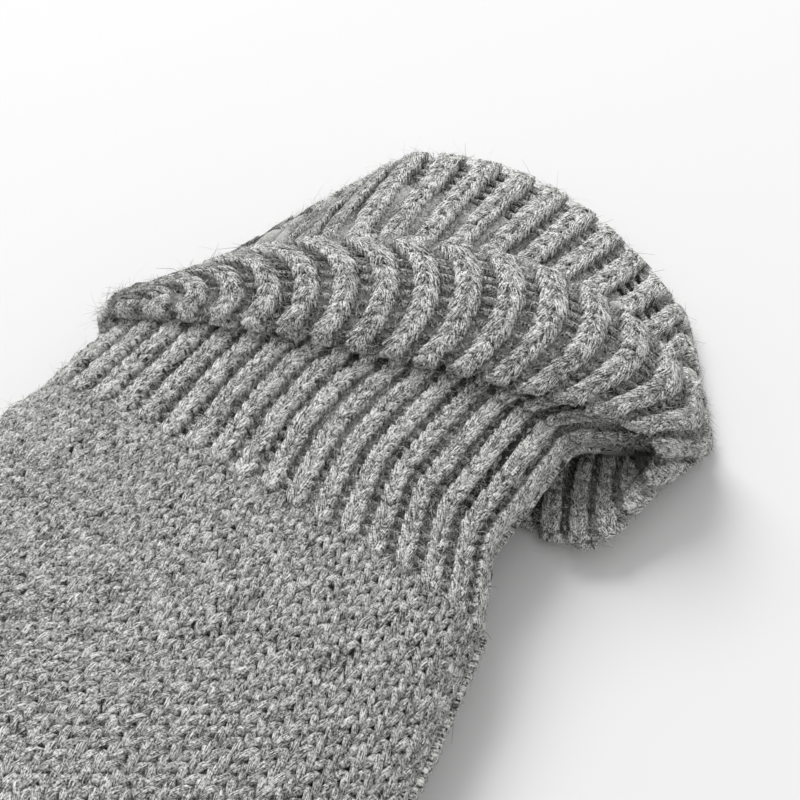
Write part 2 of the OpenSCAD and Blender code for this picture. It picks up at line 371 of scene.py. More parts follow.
class Cloth:
    """The visible face of a piece of fabric, sampled in even columns round each ring.

    Positions on it are u, from 0 to 1 round the ring, and v, from 0 to 1 along the columns.
    """

    COLUMNS = 304

    def __init__(self, rings: np.ndarray) -> None:
        """Samples the fabric.

        Args:
            rings: The rings that it runs through, as rings by samples by 3.
        """
        self.points = np.stack([self._evened(ring) for ring in rings])
        along = np.gradient(self.points, axis=0)
        around = np.roll(self.points, -1, axis=1) - np.roll(self.points, 1, axis=1)
        normal = np.cross(along, around)
        length = np.linalg.norm(normal, axis=2, keepdims=True)
        self.normals = normal / np.maximum(length, SHORTEST_LENGTH)
        steps = np.linalg.norm(np.diff(self.points, axis=0), axis=2)
        self.reach = np.vstack([np.zeros(self.COLUMNS), np.cumsum(steps, axis=0)])

    def _evened(self, ring: np.ndarray) -> np.ndarray:
        """One ring's points at even distances round it."""
        closed = np.vstack([ring, ring[:1]])
        walked = np.concatenate([[0], np.cumsum(np.linalg.norm(np.diff(closed, axis=0), axis=1))])
        wanted = np.arange(self.COLUMNS) / self.COLUMNS * walked[-1]
        return np.stack([np.interp(wanted, walked, closed[:, k]) for k in range(3)], axis=1)

    def at(self, u: np.ndarray, v: np.ndarray) -> tuple[np.ndarray, np.ndarray]:
        """Points and normals anywhere on the fabric.

        Args:
            u: Shares round it.
            v: Shares along it.

        Returns:
            The points and the outward normals.
        """
        rows, columns = self.points.shape[:2]
        row = np.clip(v, 0, 1) * (rows - 1)
        low = np.minimum(row.astype(int), rows - 2)
        down = (row - low)[..., None]
        column = np.mod(u, 1) * columns
        left = column.astype(int) % columns
        right = (left + 1) % columns
        over = (column - np.floor(column))[..., None]

        def between(table: np.ndarray) -> np.ndarray:
            """The table's value between its four nearest samples."""
            near = blend(table[low, left], table[low, right], over)
            far = blend(table[low + 1, left], table[low + 1, right], over)
            return blend(near, far, down)

        normal = between(self.normals)
        return between(self.points), normal / np.linalg.norm(normal, axis=-1, keepdims=True)

    def column_length(self, u: float) -> float:
        """The length along the fabric at u."""
        return float(self.reach[-1, int(u * self.COLUMNS) % self.COLUMNS])

    def share_at(self, u: float, distance: np.ndarray) -> np.ndarray:
        """The shares v at distances along the fabric at u."""
        reach = self.reach[:, int(u * self.COLUMNS) % self.COLUMNS]
        return np.interp(distance, reach, np.linspace(0, 1, len(reach)))


# ---- Meshes ----


def only(piece: bpy.types.Object) -> None:
    """Selects one object and makes it active."""
    bpy.ops.object.select_all(action="DESELECT")
    piece.select_set(True)
    bpy.context.view_layer.objects.active = piece


def points_of(mesh: bpy.types.Mesh) -> np.ndarray:
    """A mesh's points, one row each."""
    flat = np.empty(len(mesh.vertices) * 3)
    mesh.vertices.foreach_get("co", flat)
    return flat.reshape(-1, 3)


@dataclass
class Model:
    """A small closed shape that is modelled once and laid many times."""

    points: np.ndarray
    faces: list[tuple[int, ...]]

    @classmethod
    def taken_from(cls, piece: bpy.types.Object) -> "Model":
        """Keeps an object's shape and removes the object.

        Args:
            piece: The object.

        Returns:
            Its shape.
        """
        mesh = piece.data
        model = cls(points_of(mesh), [tuple(face.vertices) for face in mesh.polygons])
        bpy.data.objects.remove(piece)
        bpy.data.meshes.remove(mesh)
        return model


def model_leg() -> Model:
    """Models one leg of a stitch: a grain of yarn along Y, one unit long, wide and high.

    Returns:
        The leg.
    """
    bpy.ops.object.select_all(action="DESELECT")
    bpy.ops.mesh.primitive_uv_sphere_add(segments=4, ring_count=4, radius=0.5)
    leg = bpy.context.object
    bpy.ops.object.mode_set(mode="EDIT")
    bpy.ops.mesh.select_all(action="SELECT")
    quarter = math.pi / 4
    bpy.ops.transform.rotate(value=quarter, orient_axis="Z", center_override=(0, 0, 0))
    bpy.ops.transform.resize(value=(1.3, 1.3, 1.0))
    bpy.ops.transform.rotate(value=math.pi / 2, orient_axis="X", center_override=(0, 0, 0))
    bpy.ops.object.mode_set(mode="OBJECT")
    return Model.taken_from(leg)


def model_spike() -> Model:
    """Models one short fibre: a three-sided spike along Z, one unit long.

    Returns:
        The spike.
    """
    bpy.ops.object.select_all(action="DESELECT")
    bpy.ops.mesh.primitive_cone_add(vertices=3, radius1=1.0, radius2=0.0, depth=1.0)
    spike = bpy.context.object
    bpy.ops.object.mode_set(mode="EDIT")
    bpy.ops.mesh.select_all(action="SELECT")
    bpy.ops.transform.translate(value=(0, 0, 0.5))
    bpy.ops.object.mode_set(mode="OBJECT")
    return Model.taken_from(spike)


def model_fibre(joints: int) -> Model:
    """Models one fibre: a three-sided thread along Z with rings at whole numbers.

    Args:
        joints: How many rings it has.

    Returns:
        The fibre.
    """
    bpy.ops.object.select_all(action="DESELECT")
    bpy.ops.mesh.primitive_circle_add(vertices=3, radius=1.0, fill_type="NGON")
    fibre = bpy.context.object
    bpy.ops.object.mode_set(mode="EDIT")
    bpy.ops.mesh.select_all(action="SELECT")
    for _ in range(joints - 1):
        bpy.ops.mesh.extrude_region_move(TRANSFORM_OT_translate={"value": (0, 0, 1)})
    bpy.ops.mesh.select_all(action="SELECT")
    bpy.ops.mesh.normals_make_consistent(inside=False)
    bpy.ops.object.mode_set(mode="OBJECT")
    return Model.taken_from(fibre)


class Weave:
    """Collects points, faces and yarn maps, and writes them as one mesh."""

    def __init__(self) -> None:
        """Starts an empty mesh."""
        self.points: list[np.ndarray] = []
        self.yarn: list[np.ndarray] = []
        self.tones: list[np.ndarray] = []
        self.corners: list[np.ndarray] = []
        self.sizes: list[np.ndarray] = []
        self.count = 0

    def lay(self, model: Model, places: np.ndarray, yarn: np.ndarray, tones: np.ndarray) -> None:
        """Adds many copies of a model.

        Args:
            model: The shape.
            places: Where each copy's points go, as copies by points by 3.
            yarn: The yarn map at each point, as copies by points by 2.
            tones: The tone of each copy.
        """
        copies, per_copy = places.shape[:2]
        starts = self.count + np.arange(copies) * per_copy
        corners = np.array([corner for face in model.faces for corner in face])
        sizes = np.array([len(face) for face in model.faces])
        self.points.append(places.reshape(-1, 3))
        self.yarn.append(yarn.reshape(-1, 2))
        self.tones.append(np.repeat(tones, per_copy))
        self.corners.append((starts[:, None] + corners[None, :]).ravel())
        self.sizes.append(np.tile(sizes, copies))
        self.count += copies * per_copy

    def write(self, name: str, material: bpy.types.Material, mirror: float | None) -> bpy.types.Object:
        """Makes the mesh an object.

        Args:
            name: The object's name.
            material: Its material.
            mirror: What x and its mirrored x add up to, or None to keep x.

        Returns:
            The object.
        """
        points = np.concatenate(self.points)
        points[:, 2] = np.maximum(points[:, 2], FLOOR_GAP)
        corners = np.concatenate(self.corners)
        sizes = np.concatenate(self.sizes)
        starts = np.concatenate([[0], np.cumsum(sizes)[:-1]])
        if mirror is not None:
            points[:, 0] = mirror - points[:, 0]
        mesh = bpy.data.meshes.new(name)
        mesh.vertices.add(len(points))
        mesh.vertices.foreach_set("co", (points * MM).ravel())
        mesh.loops.add(len(corners))
        mesh.loops.foreach_set("vertex_index", corners)
        mesh.polygons.add(len(sizes))
        mesh.polygons.foreach_set("loop_start", starts)
        mesh.update(calc_edges=True)
        mesh.validate()
        if mirror is not None:
            mesh.flip_normals()
        loop_points = np.empty(len(mesh.loops), int)
        mesh.loops.foreach_get("vertex_index", loop_points)
        layer = mesh.uv_layers.new(name="yarn")
        layer.data.foreach_set("uv", np.concatenate(self.yarn)[loop_points].ravel())
        tone = mesh.attributes.new("tone", "FLOAT", "POINT")
        tone.data.foreach_set("value", np.concatenate(self.tones))
        mesh.polygons.foreach_set("use_smooth", np.ones(len(mesh.polygons), bool))
        mesh.materials.append(material)
        piece = bpy.data.objects.new(name, mesh)
        bpy.context.scene.collection.objects.link(piece)
        return piece


@dataclass(frozen=True)
class Stitches:
    """The sizes of one kind of knitting.

    Widths, leans and spreads are shares of a wale, and lengths are shares of a row. The row, the
    height and the depth are in millimetres.
    """

    wales: int
    row: float
    leg_width: float
    leg_length: float
    leg_height: float
    lean: float
    sunk: float
    spread: float


@dataclass
class Legs:
    """Where many stitch legs lie on a fabric.

    u and v are their middles. Widths and leans are in u, lengths are in v, and heights and depths
    are in millimetres. A single number stands for every leg.
    """

    u: np.ndarray
    v: np.ndarray
    width: Number
    length: Number
    height: Number
    lean: Number
    sunk: Number


@dataclass(frozen=True)
class Ground:
    """The plain fabric under the stitches, in millimetres."""

    depth: float
    thickness: float
    columns: int
    relief: Relief


@dataclass(frozen=True)
class Brushing:
    """How one kind of fibre stands out of the fabric, in millimetres and degrees.

    Curls, droops and tapers are shares of the fibre's length or thickness.
    """

    count: int
    model: Model
    shortest: float
    longest: float
    slope_lo: float
    slope_hi: float
    radius: float
    darkest: float = 0.0
    root_lo: float = -0.7
    root_hi: float = 0.3
    curl: float = 0.55
    curl_back: float = 0.35
    droop: float = 0.5
    taper: float = 0.6


@dataclass
class Knitter:
    """Knits pieces of fabric: ground, stitches and brushed fibres."""

    wool: bpy.types.Material
    # The ground's material is painted shade: the same yarn made darker so the gaps between stitches look
    # shaded
    ground: bpy.types.Material
    fibre: bpy.types.Material
    leg: Model
    spike: Model
    thread: Model
    long_thread: Model
    random: np.random.Generator

    # The ground's rows of faces, and the u past which a column is the first one again
    GROUND_ROW = 2.2
    FEWEST_ROWS = 6
    MOST_ROWS = 70
    LAST_COLUMN = 0.9999

    # How unevenly stitches lie, and how far apart their places in the yarn's pattern are
    UNEVENNESS = 0.07
    YARN_SHIFT = 60

    # The bars between ribs, as shares of a rib, a row and a leg's height, and how deep they lie
    BAR_WIDTH = 0.60
    BAR_LENGTH = 0.62
    BAR_HEIGHT = 0.6
    BAR_SUNK_FIRST = 0.6
    BAR_SUNK = 1.5

    # Places that are tried for each fibre, and how much the ones that face up are preferred
    SPARE_TRIES = 2.2
    UPWARD_PULL = 0.9

    def lay_ground(self, name: str, cloth: Cloth, ground: Ground, mirror: float | None) -> bpy.types.Object:
        """Makes the closed fabric under the stitches, in a material painted dark as the shade between them.

        Args:
            name: The object's name.
            cloth: The fabric.
            ground: Its sizes.
            mirror: What x and its mirrored x add up to, or None.

        Returns:
            The object.
        """
        rows = round(float(cloth.reach[-1].mean()) / self.GROUND_ROW)
        rows = max(self.FEWEST_ROWS, min(self.MOST_ROWS, rows))
        bpy.ops.object.select_all(action="DESELECT")
        bpy.ops.mesh.primitive_grid_add(x_subdivisions=ground.columns, y_subdivisions=rows, size=1.0)
        piece = bpy.context.object
        piece.name = name
        mesh = piece.data
        mesh.name = name
        flat = points_of(mesh)
        u, v = flat[:, 0] + 0.5, flat[:, 1] + 0.5
        points, outward = cloth.at(np.where(u > self.LAST_COLUMN, 0.0, u), v)
        points = points + outward * (ground.relief(u, v) - ground.depth)[:, None]
        points[:, 2] = np.maximum(points[:, 2], FLOOR_GAP)
        if mirror is not None:
            points[:, 0] = mirror - points[:, 0]
            outward[:, 0] *= -1
        mesh.vertices.foreach_set("co", (points * MM).ravel())
        mesh.update()
        layer = mesh.uv_layers.active or mesh.uv_layers.new(name="yarn")
        layer.name = "yarn"
        middle = mesh.polygons[len(mesh.polygons) // 2]
        inside_out = middle.normal.dot(Vector(outward[middle.vertices[0]])) < 0
        only(piece)
        bpy.ops.object.mode_set(mode="EDIT")
        bpy.ops.mesh.select_all(action="SELECT")
        bpy.ops.mesh.remove_doubles(threshold=1e-6)
        if inside_out:
            bpy.ops.mesh.flip_normals()
        bpy.ops.object.mode_set(mode="OBJECT")
        wall = piece.modifiers.new("wall", "SOLIDIFY")
        wall.thickness = ground.thickness * MM
        wall.offset = -1.0
        bpy.ops.object.modifier_apply(modifier=wall.name)
        bpy.ops.object.shade_smooth()
        # Painted shade: the ground's material is darker than the yarn, standing in for the shade seen
        # between the stitches
        mesh.materials.append(self.ground)
        return piece

    def lay_legs(self, weave: Weave, cloth: Cloth, legs: Legs) -> None:
        """Lays stitch legs on the fabric.

        Args:
            weave: Where they are collected.
            cloth: The fabric.
            legs: Where they lie.
        """
        shape = self.leg.points
        count = len(legs.u)

        def each(value: Number) -> np.ndarray:
            """The value of each leg, one row each."""
            return np.broadcast_to(value, count)[:, None]

        wobble = 1 + self.random.normal(0, self.UNEVENNESS, (count, 1))
        x = shape[:, 0] * each(legs.width) * wobble + shape[:, 1] * each(legs.lean)
        y = shape[:, 1] * each(legs.length) * wobble
        points, normals = cloth.at(legs.u[:, None] + x, legs.v[:, None] + y)
        rise = self.random.normal(0, self.UNEVENNESS, (count, 1))
        lift = shape[:, 2] * each(legs.height) - each(legs.sunk) + rise
        drift = self.random.normal(0, self.UNEVENNESS, (count, 1, 3))
        places = points + normals * lift[..., None] + drift
        yarn = shape[:, :2] + self.random.uniform(0, self.YARN_SHIFT, (count, 1, 2))
        weave.lay(self.leg, places, yarn, self.random.uniform(0, 1, count))

    def stitches_at(
        self, cloth: Cloth, us: np.ndarray, row: float, even: bool
    ) -> tuple[np.ndarray, np.ndarray, np.ndarray]:
        """Finds the stitches in each column.

        Args:
            cloth: The fabric.
            us: Where each column is.
            row: The height of a row.
            even: Whether every column has the same number of rows.

        Returns:
            u, v and the length in v of a row, for each stitch.
        """
        found_u, found_v, found_row = [], [], []
        mean = float(cloth.reach[-1].mean())
        for u in us:
            length = mean if even else cloth.column_length(float(u))
            count = max(2, round(length / row))
            if even:
                v = (np.arange(count) + 0.5) / count
            else:
                v = cloth.share_at(float(u), (np.arange(count) + 0.5) * length / count)
            found_u.append(np.full(count, u))
            found_v.append(v)
            found_row.append(np.gradient(v))
        return np.concatenate(found_u), np.concatenate(found_v), np.concatenate(found_row)

    def lay_pairs(self, weave: Weave, cloth: Cloth, kind: Stitches, apex: int, even: bool) -> None:
        """Lays a pair of leaning legs in every row of every wale.

        Args:
            weave: Where they are collected.
            cloth: The fabric.
            kind: The sizes of the stitches.
            apex: Which way each pair of legs meets, 1 along the fabric or -1 back.
            even: Whether every column has the same number of rows.
        """
        pitch = 1 / kind.wales
        middles = (np.arange(kind.wales) + 0.5) * pitch
        u, v, row = self.stitches_at(cloth, middles, kind.row, even)
        for side in (-1, 1):
            legs = Legs(
                u + side * pitch * kind.spread,
                v,
                width=pitch * kind.leg_width,
                length=row * kind.leg_length,
                height=kind.leg_height,
                lean=-side * apex * pitch * kind.lean,
                sunk=kind.sunk,
            )
            self.lay_legs(weave, cloth, legs)

    def lay_bars(self, weave: Weave, cloth: Cloth, kind: Stitches, fade: float) -> None:
        """Lays the sunk bars between ribs.

        Args:
            weave: Where they are collected.
            cloth: The fabric.
            kind: The sizes of the stitches, with its wales counted in ribs.
            fade: The share of the fabric over which the ribs rise out of plain knitting.
        """
        pitch = 1 / kind.wales
        middles = (np.arange(kind.wales) + 0.5) * pitch
        u, v, row = self.stitches_at(cloth, middles + pitch / 2, kind.row, False)
        risen = np.clip(v / max(fade, SHORTEST_FADE), 0, 1)
        bars = Legs(
            u,
            v,
            width=pitch * self.BAR_WIDTH,
            length=row * self.BAR_LENGTH,
            height=kind.leg_height * self.BAR_HEIGHT,
            lean=0.0,
            sunk=blend(self.BAR_SUNK_FIRST, self.BAR_SUNK, risen),
        )
        self.lay_legs(weave, cloth, bars)

    def brush(self, weave: Weave, cloth: Cloth, brush: Brushing) -> None:
        """Brushes fibres out of the fabric, mostly where it faces up.

        Args:
            weave: Where they are collected.
            cloth: The fabric.
            brush: How many fibres there are and how they lie.
        """
        rng = self.random
        tries = int(brush.count * self.SPARE_TRIES)
        root, normal = cloth.at(rng.uniform(0, 1, tries), rng.uniform(0, 1, tries))
        facing_up = np.clip(normal[:, 2] + 0.5, 0, 1)
        order = np.argsort(rng.uniform(0, 1, tries) - self.UPWARD_PULL * facing_up)
        kept = order[: brush.count]
        root, normal, count = root[kept], normal[kept], brush.count
        root = root + normal * rng.uniform(brush.root_lo, brush.root_hi, (count, 1))
        free = rng.normal(0, 1, (count, 3))
        flat = free - normal * (free * normal).sum(1, keepdims=True)
        flat /= np.maximum(np.linalg.norm(flat, axis=1, keepdims=True), SHORTEST_LENGTH)
        side = np.cross(normal, flat)
        slope = np.radians(rng.uniform(brush.slope_lo, brush.slope_hi, (count, 1)))
        reach = blend(brush.shortest, brush.longest, rng.uniform(0, 1, (count, 1)) ** 2)
        curl = rng.normal(0, brush.curl, (count, 1))
        droop = rng.uniform(0.0, brush.droop, (count, 1)) * np.sin(slope)
        shape = brush.model.points
        last = shape[:, 2].max()
        places = np.empty((count, len(shape), 3))
        for k, (x, y, z) in enumerate(shape):
            t = z / last
            spine = (
                flat * (np.cos(slope) * t - np.abs(curl) * brush.curl_back * t * t)
                + normal * (np.sin(slope) * t - droop * t * t)
                + side * curl * t * t
            )
            radius = brush.radius * (1.0 - brush.taper * t)
            places[:, k] = root + spine * reach + side * (x * radius) + normal * (y * radius)
        yarn = np.zeros((count, len(shape), 2))
        weave.lay(brush.model, places, yarn, rng.uniform(brush.darkest, 1, count))


# ---- The glove ----


@dataclass
class Digit:
    """A finger or a thumb, knitted from its base to its tip, in millimetres and degrees."""

    name: str
    width: float
    length: float
    lean: float
    base_x: float
    base_y: float
    overlap: float
    turn: float = 0.0
    height: float = 13.5
    closure: float = 3.0

    # Only the finger's own length rests on the floor, and its rounded tip lifts off it
    TIP_FROM = 0.9
    RING_SPACING = 1.2

    def placed(self, points: np.ndarray) -> np.ndarray:
        """Moves points from the digit's own place to the glove.

        Args:
            points: Points with the digit's base at the origin.

        Returns:
            The points on the glove.
        """
        angle = math.radians(-self.turn)
        x = points[..., 0] * math.cos(angle) - points[..., 1] * math.sin(angle)
        y = points[..., 0] * math.sin(angle) + points[..., 1] * math.cos(angle)
        return np.stack([x + self.base_x, y + self.base_y, points[..., 2]], axis=-1)

    def cloth(self) -> Cloth:
        """The digit's fabric, from the closed tip to the base."""
        middle = self.height / 2
        # Shares of the length, the width and the height
        outline = (
            (1 + self.closure / self.length, 0.05, 0.05),
            (1 + 0.8 * self.closure / self.length, 0.24, 0.30),
            (1.0, 0.5, 0.62),
            (0.955, 0.74, 0.84),
            (0.86, 0.9, 0.94),
            (0.5, 0.97, 0.97),
            (0.0, 1.0, 1.05),
        )
        stations = []
        for along, wide, high in outline:
            x = self.lean * self.length * along
            half = wide * self.width / 2
            low = middle - high * middle if along > self.TIP_FROM else 0.0
            stations.append((-self.length * along, x - half, x + half, low, middle + high * middle))
        stations.append((self.overlap, *stations[-1][1:]))
        return Cloth(self.placed(tube_rings(stations, self.RING_SPACING)))


@dataclass(frozen=True)
class Fabric:
    """One piece of a glove's fabric, and how it is knitted, brushed and moved."""

    name: str
    nodes: tuple[str, ...]
    cloth: Cloth
    knit: Knit
    fibres: int
    bend: Bend | None = None
    apex: int = -1
    wales: int = 76
    thickness: float = 0.7
    fade: float = 0.0


@dataclass
class Glove:
    """One glove: hand, ribbed wrist, turned-back cuff and five digits."""

    side: Side
    knitter: Knitter
    fluff: float = 1.0
    hand_w: float = 100.0
    knuckle_y: float = -78.0
    rib_y: float = 20.0
    wrist_lo: float = -41.0
    wrist_hi: float = 35.0
    wrist_lift: float = 4.2
    wrist_top: float = 20.2
    wall: float = 3.0
    ribs: int = 38
    edge_y: float = 49.0
    edge_slant: float = 29.0
    edge_drop: float = 17.0
    edge_gap: float = 0.9
    roll_r: float = 1.3
    cuff_lo: float = -43.0
    cuff_hi: float = 48.0
    cuff_w: float = 96.0
    cuff_puff: float = 2.5
    thumb_tuck: float = 4.5
    fold_thick: float = 6.5
    fold_middle: float = 0.33
    near_lip_y: float = 67.0
    near_slant: float = 20.0
    near_curve: float = 15.0
    least_depth: float = 2.0
    mouth_gape: float = 44.0
    mouth_height: float = 29.0
    far_slant: float = -7.0
    far_curve: float = 19.0
    straight_slant: float = 11.0
    lining_depth: float = 14.0
    stretch_from: float = 32.0
    stretch_to: float = 60.0

    # How far the ground lies under the face of plain and ribbed cloth, and how it sinks further
    # between ribs and at an end that is tucked under the fold
    PLAIN_DEPTH = 1.1
    RIB_DEPTH = 0.75
    GROOVE_DEPTH = 1.1
    TUCK_DEPTH = 1.4
    TUCK_SHARE = 0.08
    FEWEST_COLUMNS = 36
    COLUMNS_PER_RIB = 6

    # The loops of the seams' chains, and how far the thumb's lies from the end of its cloth
    SIDE_SEAM_LOOPS = 66
    THUMB_SEAM_LOOPS = 40
    THUMB_SEAM_FROM_END = 4.0

    # A digit's wales and fibres, and the ends of the stretch near its base that is given as its bend
    DIGIT_WALES = 24
    DIGIT_FIBRES = 450
    BEND_FROM = 1.4
    BEND_TO = -14.0

    def __post_init__(self) -> None:
        """Finds the mirror plane and sets the kinds of stitches."""
        right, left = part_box("right_hand"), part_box("left_hand")
        self.mirror = None if self.side is Side.RIGHT else (left[0][0] + right[1][0]) / MM
        self.plain_stitch = Stitches(76, 2.5, 0.52, 1.6, 2.3, 0.46, 0.85, spread=0.25)
        self.rib_stitch = Stitches(self.ribs, 2.2, 0.36, 1.8, 2.1, 0.26, 0.35, spread=0.14)
        self.stretch = ("cuff", (0.0, self.stretch_from * MM, 0.0), (0.0, self.stretch_to * MM, 0.0))
        self.pieces = 0

    def named(self, name: str) -> str:
        """A name with the glove's side before it."""
        return f"{self.side.value}_{name}"

    def across_x(self, x: float) -> float:
        """Where x lies on this glove, in millimetres."""
        return x if self.mirror is None else self.mirror - x

    # The fabric's shapes. A station is y, the lowest and highest x, and the lowest and highest z

    def hand_cloth(self) -> Cloth:
        """The hand, from its rounded end under the fingers to the rib."""
        half = self.hand_w / 2
        stations = [
            (self.knuckle_y - 3.4, 4 - half, half - 4, 4.5, 9.5),
            (self.knuckle_y - 2.2, 1 - half, half - 1, 1.4, 12.6),
            (self.knuckle_y, -half, half, 0.0, 14.0),
            (-64.6, -49.5, 50.5, 0.0, 15.0),
            (-51.27, -46.21, 50.0, 0.0, 16.0),
            (-34.17, -68.59, 49.0, 0.0, 16.0),
            (-7.1, -50.4, 46.0, 0.0, 17.0),
            (self.rib_y, -43.5, 41.0, 0.0, 18.5),
        ]
        return Cloth(tube_rings(stations, 2.0))

    def wrist_cloth(self) -> Cloth:
        """The outside of the wrist, from the hand to where it rises into the cuff."""
        wrist = (self.wrist_lo, self.wrist_hi, self.wrist_lift, self.wrist_top)
        stations = [
            (self.rib_y - 1, -43.6, 41.2, 0.0, 18.5),
            (28.0, self.wrist_lo - 1, self.wrist_hi + 2, 3.4, 19.7),
            (33.5, *wrist),
            (self.edge_y - 6, *wrist),
        ]
        rings = list(tube_rings(stations, 1.5))
        wall = np.minimum(self.wall, 1.2 * self.fold_half())
        for share in np.linspace(1.0, 0.15, 12):
            rings.append(self.rising_ring(share) + self.outward() * wall)
        return Cloth(self.off_floor(np.stack(rings)))

    def rising_ring(self, share: float) -> np.ndarray:
        """A ring of the cloth between the mouth's lip and the wrist's inside.

        Args:
            share: How far it lies from the lip to the wrist.

        Returns:
            The ring on the inner face of the cloth.
        """
        lip = self.fold_ring() - self.outward() * self.fold_half()
        inside = oval(
            self.edge_y - 5,
            self.wrist_lo + self.wall,
            self.wrist_hi - self.wall,
            self.wrist_lift + self.wall,
            self.wrist_top - self.wall,
        )
        across, _ = directions()
        inside[:, 1] += self.straight_slant * np.maximum(across, 0)
        ring = blend(lip, inside, ease(share))
        ring[:, 1] = blend(lip[:, 1], inside[:, 1], share)
        return ring

    def edge_height(self) -> np.ndarray:
        """How high the middle of the cloth at the free edge lies, at each sample."""
        _, upward = directions()
        return self.wall / 2 + (self.wrist_top + self.edge_gap) * (upward + 1) / 2

    def edge_ring(self) -> np.ndarray:
        """The middle of the cloth at the cuff's free edge, which runs back under the side."""
        across, upward = directions()
        x = (self.cuff_lo + self.cuff_hi) / 2 + (self.cuff_hi - self.cuff_lo) / 2 * across
        under = ease(np.clip(-upward * 1.4, 0, 1)) * np.maximum(across, 0)
        y = self.edge_y + self.edge_slant / 2 * across - self.edge_drop * under
        return np.stack([x, y, self.edge_height()], axis=1)

    def fold_ring(self) -> np.ndarray:
        """The middle of the cloth at the fold round the mouth."""
        across, upward = directions()
        x = self.fold_middle + self.cuff_w / 2 * across + self.thumb_tuck * np.maximum(-across, 0)
        near = self.near_lip_y + self.near_slant * across - self.near_curve * across**2
        far = self.near_lip_y + self.mouth_gape + self.far_slant * across - self.far_curve * across**2
        furthest_back = self.edge_ring()[:, 1] + self.least_depth
        y = np.maximum(blend(near, far, ((1 - upward) / 2) ** 3), furthest_back)
        half = self.fold_thick / 2
        z = blend(half, self.mouth_height - half, np.maximum(upward, 0) ** 1.2)
        lifted = self.edge_height() * np.clip(2 * upward, 0, 1) * np.minimum(1 - across, 1)
        return np.stack([x, y, np.maximum(z, lifted)], axis=1)

    def fold_half(self) -> np.ndarray:
        """Half the thickness of the fold, which is thinner on the thumb's side."""
        across, _ = directions()
        thumb_side = ease(np.clip((-across - 0.45) / 0.5, 0, 1))
        return (self.fold_thick / 2 * (1 - 0.3 * thumb_side))[:, None]

    def outward(self) -> np.ndarray:
        """The direction out of the mouth at each sample."""
        across, upward = directions()
        size = np.hypot(across, upward)
        return np.stack([across / size, np.zeros_like(size), upward / size], axis=1)

    def turned(self, turn: float, radius: Number) -> np.ndarray:
        """Steps from a ring of cloth to its face, by a turn from outward towards the mouth."""
        forward = np.array([0.0, 1.0, 0.0])
        return (self.outward() * math.cos(turn) + forward * math.sin(turn)) * radius

    def turnback_cloth(self) -> Cloth:
        """The turned-back layer, from its inside round the rolled edge to the top of the fold."""
        _, upward = directions()
        edge, fold, out = self.edge_ring(), self.fold_ring(), self.outward()
        fold_half = self.fold_half()
        depth = np.linalg.norm(fold - edge, axis=1)
        puffed = (np.clip(upward * 3, 0, 1) * np.minimum(depth / 22, 1) * self.cuff_puff)[:, None]
        rings = [blend(edge, fold, share) - out * self.roll_r for share in np.linspace(0.5, 0.05, 6)]
        rings += [edge + self.turned(turn, self.roll_r) for turn in np.linspace(-math.pi, 0, 6)[:-1]]
        for share in np.linspace(0, 1, 16):
            half = blend(self.roll_r, fold_half, ease(share))
            puff = puffed * 4 * share * (1 - share)
            rings.append(blend(edge, fold, share) + out * (half + puff))
        rings += [fold + self.turned(turn, fold_half) for turn in np.linspace(0, math.pi / 2, 7)[1:]]
        return Cloth(self.off_floor(np.stack(rings)))

    def mouth_cloth(self) -> Cloth:
        """The mouth's inside, from the top of the fold down into the wrist."""
        fold, fold_half = self.fold_ring(), self.fold_half()
        rings = [fold + self.turned(turn, fold_half) for turn in np.linspace(math.pi / 5, math.pi, 9)]
        rings += [self.rising_ring(share) for share in np.linspace(0, 1, 20)[1:]]
        deepest = rings[-1].copy()
        deepest[:, 1] -= self.lining_depth
        rings.append(deepest)
        return Cloth(self.off_floor(np.stack(rings)))

    @staticmethod
    def off_floor(rings: np.ndarray) -> np.ndarray:
        """Keeps rings above the floor."""
        rings[..., 2] = np.maximum(rings[..., 2], FLOOR_GAP)
        return rings

    # Building

    def rib_relief(self, fade: float) -> Relief:
        """How the ground sinks between ribs, and at an end that is tucked under the fold.

        Args:
            fade: The share of the fabric over which the ribs rise out of plain knitting. Where it
                isn't 0, the fabric's first end meets plain knitting and isn't tucked.

        Returns:
            A function from u and v to the rise.
        """
        tuck = 0.0 if fade else self.TUCK_DEPTH

        def relief(u: np.ndarray, v: np.ndarray) -> np.ndarray:
            """The rise at u and v."""
            groove = 0.5 + 0.5 * np.cos(2 * math.pi * self.ribs * u)
            risen = np.clip(v / max(fade, SHORTEST_FADE), 0, 1)
            tucked = tuck * (1 - np.clip(v / self.TUCK_SHARE, 0, 1))
            return -self.GROOVE_DEPTH * groove * risen - tucked

        return relief

    @staticmethod
    def flat_relief(u: np.ndarray, v: np.ndarray) -> np.ndarray:
        """No rise."""
        return np.zeros_like(u * v)

    def tie(self, piece: bpy.types.Object, nodes: tuple[str, ...], bend: Bend | None) -> None:
        """Hides a piece's CAD nodes, and ties the piece to the glove's body unless it has a bend.

        Args:
            piece: The piece.
            nodes: The CAD nodes that it stands for.
            bend: A body and two points, of which only whether it is given is read: a piece with one has its
                place baked into its mesh and follows no body, and with None the whole piece follows the
                glove.
        """
        if bend:
            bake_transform(piece)
        else:
            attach(piece, self.named("glove"))
        for node in nodes:
            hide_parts(self.named(node))
        self.pieces += 1
        LOG.info("%s: %d faces", piece.name, len(piece.data.polygons))

